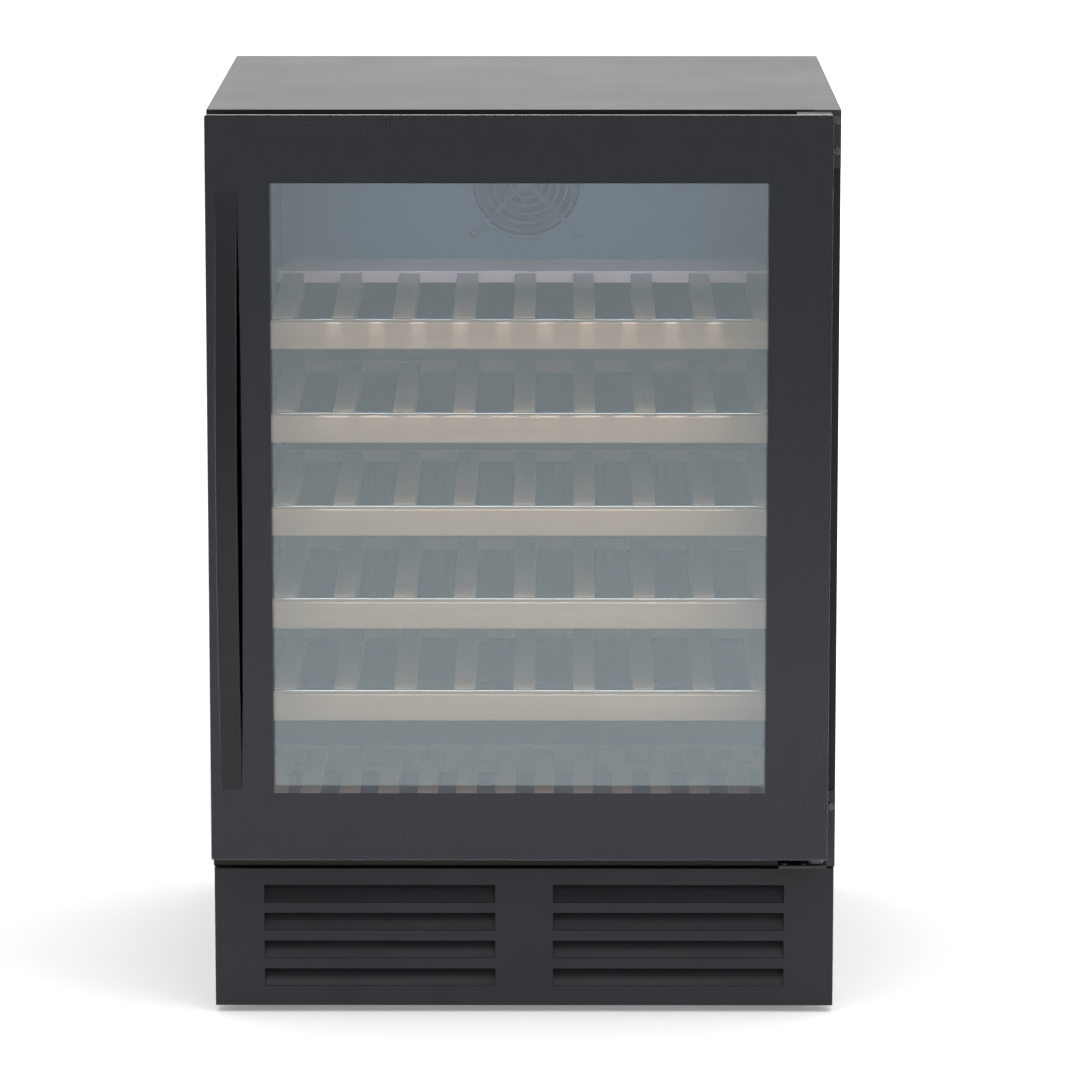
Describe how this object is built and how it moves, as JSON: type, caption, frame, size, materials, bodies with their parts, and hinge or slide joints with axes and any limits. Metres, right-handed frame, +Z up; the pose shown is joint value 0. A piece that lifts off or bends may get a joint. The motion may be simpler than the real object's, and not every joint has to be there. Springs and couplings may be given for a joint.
{
  "type": "wine cooler",
  "caption": "Under-counter wine cooler: dark glass door with a bow handle, sliding wooden shelves, fan-cooled cavity with a light strip, and a louvred plinth.",
  "frame": {"origin": "bottom centre of the whole cooler's box, the handle included: centred left to right and front to back, on the floor under the feet", "axes": "+X to the right seen from the front, +Y towards the wall behind, the door faces -Y, +Z up"},
  "size_m": [0.595, 0.6209, 0.87],
  "materials": {
    "casing_black": "satin",
    "galvanised": "satin",
    "grille_plastic": "matte",
    "black_plastic": "matte",
    "foam": "matte",
    "liner_grey": "satin",
    "aluminium": "satin",
    "control_glass": "gloss",
    "led_white": "gloss",
    "beech": "satin",
    "hinge_steel": "satin",
    "zinc": "satin",
    "compressor_black": "satin",
    "rubber": "matte",
    "copper": "satin",
    "door_glass": "gloss",
    "handle_black": "satin",
    "bush_plastic": "satin",
    "polished_steel": "polished",
    "foot_plastic": "matte"
  },
  "bodies": {
    "cabinet": {"side_panel_left": "casing_black", "side_panel_right": "casing_black", "top_panel": "casing_black", "back_panel": "galvanised", "machine_room_ceiling": "galvanised", "base_pan": "galvanised", "rear_cover": "galvanised", "mains_inlet": "black_plastic", "plinth_grille": "grille_plastic", "insulation": "foam", "inner_liner": "liner_grey", "duct_cover": "liner_grey", "fan_guard": "black_plastic", "evaporator_fan_frame": "black_plastic", "evaporator": "aluminium", "light_housing": "black_plastic", "control_panel": "control_glass", "led_strip": "led_white", "shelf_ledges": "liner_grey", "bottom_rack": "beech", "upper_hinge": "hinge_steel", "lower_hinge": "hinge_steel", "cabinet_screws": "zinc", "compressor": "compressor_black", "compressor_mounts": "rubber", "terminal_cover": "black_plastic", "condenser": "aluminium", "condenser_fan_frame": "black_plastic", "refrigerant_pipes": "copper", "drain_tray": "black_plastic", "power_box": "black_plastic"},
    "door": {"outer_glass": "door_glass", "inner_glass": "door_glass", "glass_spacer": "aluminium", "door_frame": "black_plastic", "door_seal": "rubber", "door_handle": "handle_black", "handle_screws": "zinc", "hinge_bushes": "bush_plastic"},
    "shelf_1": {"shelf_1_front": "beech", "shelf_1_deck": "beech", "shelf_1_frame": "polished_steel"},
    "shelf_2": {"shelf_2_front": "beech", "shelf_2_deck": "beech", "shelf_2_frame": "polished_steel"},
    "shelf_3": {"shelf_3_front": "beech", "shelf_3_deck": "beech", "shelf_3_frame": "polished_steel"},
    "shelf_4": {"shelf_4_front": "beech", "shelf_4_deck": "beech", "shelf_4_frame": "polished_steel"},
    "shelf_5": {"shelf_5_front": "beech", "shelf_5_deck": "beech", "shelf_5_frame": "polished_steel"},
    "evaporator_fan": {"evaporator_fan_rotor": "black_plastic"},
    "condenser_fan": {"condenser_fan_rotor": "black_plastic"},
    "foot_left_front": {"foot_left_front": "foot_plastic"},
    "foot_left_back": {"foot_left_back": "foot_plastic"},
    "foot_right_front": {"foot_right_front": "foot_plastic"},
    "foot_right_back": {"foot_right_back": "foot_plastic"}
  },
  "joints": [
    {"name": "door_hinge", "type": "hinge", "parent": "cabinet", "child": "door", "pos_m": [0.2775, -0.2445, 0.1635], "axis": [0, 0, 1], "range_deg": [0, 110]},
    {"name": "shelf_1_slide", "type": "slide", "parent": "cabinet", "child": "shelf_1", "axis": [0, -1, 0], "range_m": [0, 0.13]},
    {"name": "shelf_2_slide", "type": "slide", "parent": "cabinet", "child": "shelf_2", "axis": [0, -1, 0], "range_m": [0, 0.13]},
    {"name": "shelf_3_slide", "type": "slide", "parent": "cabinet", "child": "shelf_3", "axis": [0, -1, 0], "range_m": [0, 0.13]},
    {"name": "shelf_4_slide", "type": "slide", "parent": "cabinet", "child": "shelf_4", "axis": [0, -1, 0], "range_m": [0, 0.13]},
    {"name": "shelf_5_slide", "type": "slide", "parent": "cabinet", "child": "shelf_5", "axis": [0, -1, 0], "range_m": [0, 0.13]},
    {"name": "evaporator_fan_spin", "type": "hinge", "parent": "cabinet", "child": "evaporator_fan", "pos_m": [0, 0.2747, 0.747], "axis": [0, 1, 0], "continuous": true},
    {"name": "condenser_fan_spin", "type": "hinge", "parent": "cabinet", "child": "condenser_fan", "pos_m": [-0.0875, -0.0835, 0.0797], "axis": [0, 1, 0], "continuous": true},
    {"name": "foot_level_left_front", "type": "slide", "parent": "cabinet", "child": "foot_left_front", "axis": [0, 0, -1], "range_m": [0, 0.02]},
    {"name": "foot_level_left_back", "type": "slide", "parent": "cabinet", "child": "foot_left_back", "axis": [0, 0, -1], "range_m": [0, 0.02]},
    {"name": "foot_level_right_front", "type": "slide", "parent": "cabinet", "child": "foot_right_front", "axis": [0, 0, -1], "range_m": [0, 0.02]},
    {"name": "foot_level_right_back", "type": "slide", "parent": "cabinet", "child": "foot_right_back", "axis": [0, 0, -1], "range_m": [0, 0.02]}
  ],
  "couplings": [
    {"joint": "shelf_1_slide", "follows": "door_hinge", "m_per_rad": 0.067713},
    {"joint": "shelf_2_slide", "follows": "door_hinge", "m_per_rad": 0.067713},
    {"joint": "shelf_3_slide", "follows": "door_hinge", "m_per_rad": 0.067713},
    {"joint": "shelf_4_slide", "follows": "door_hinge", "m_per_rad": 0.067713},
    {"joint": "shelf_5_slide", "follows": "door_hinge", "m_per_rad": 0.067713}
  ]
}
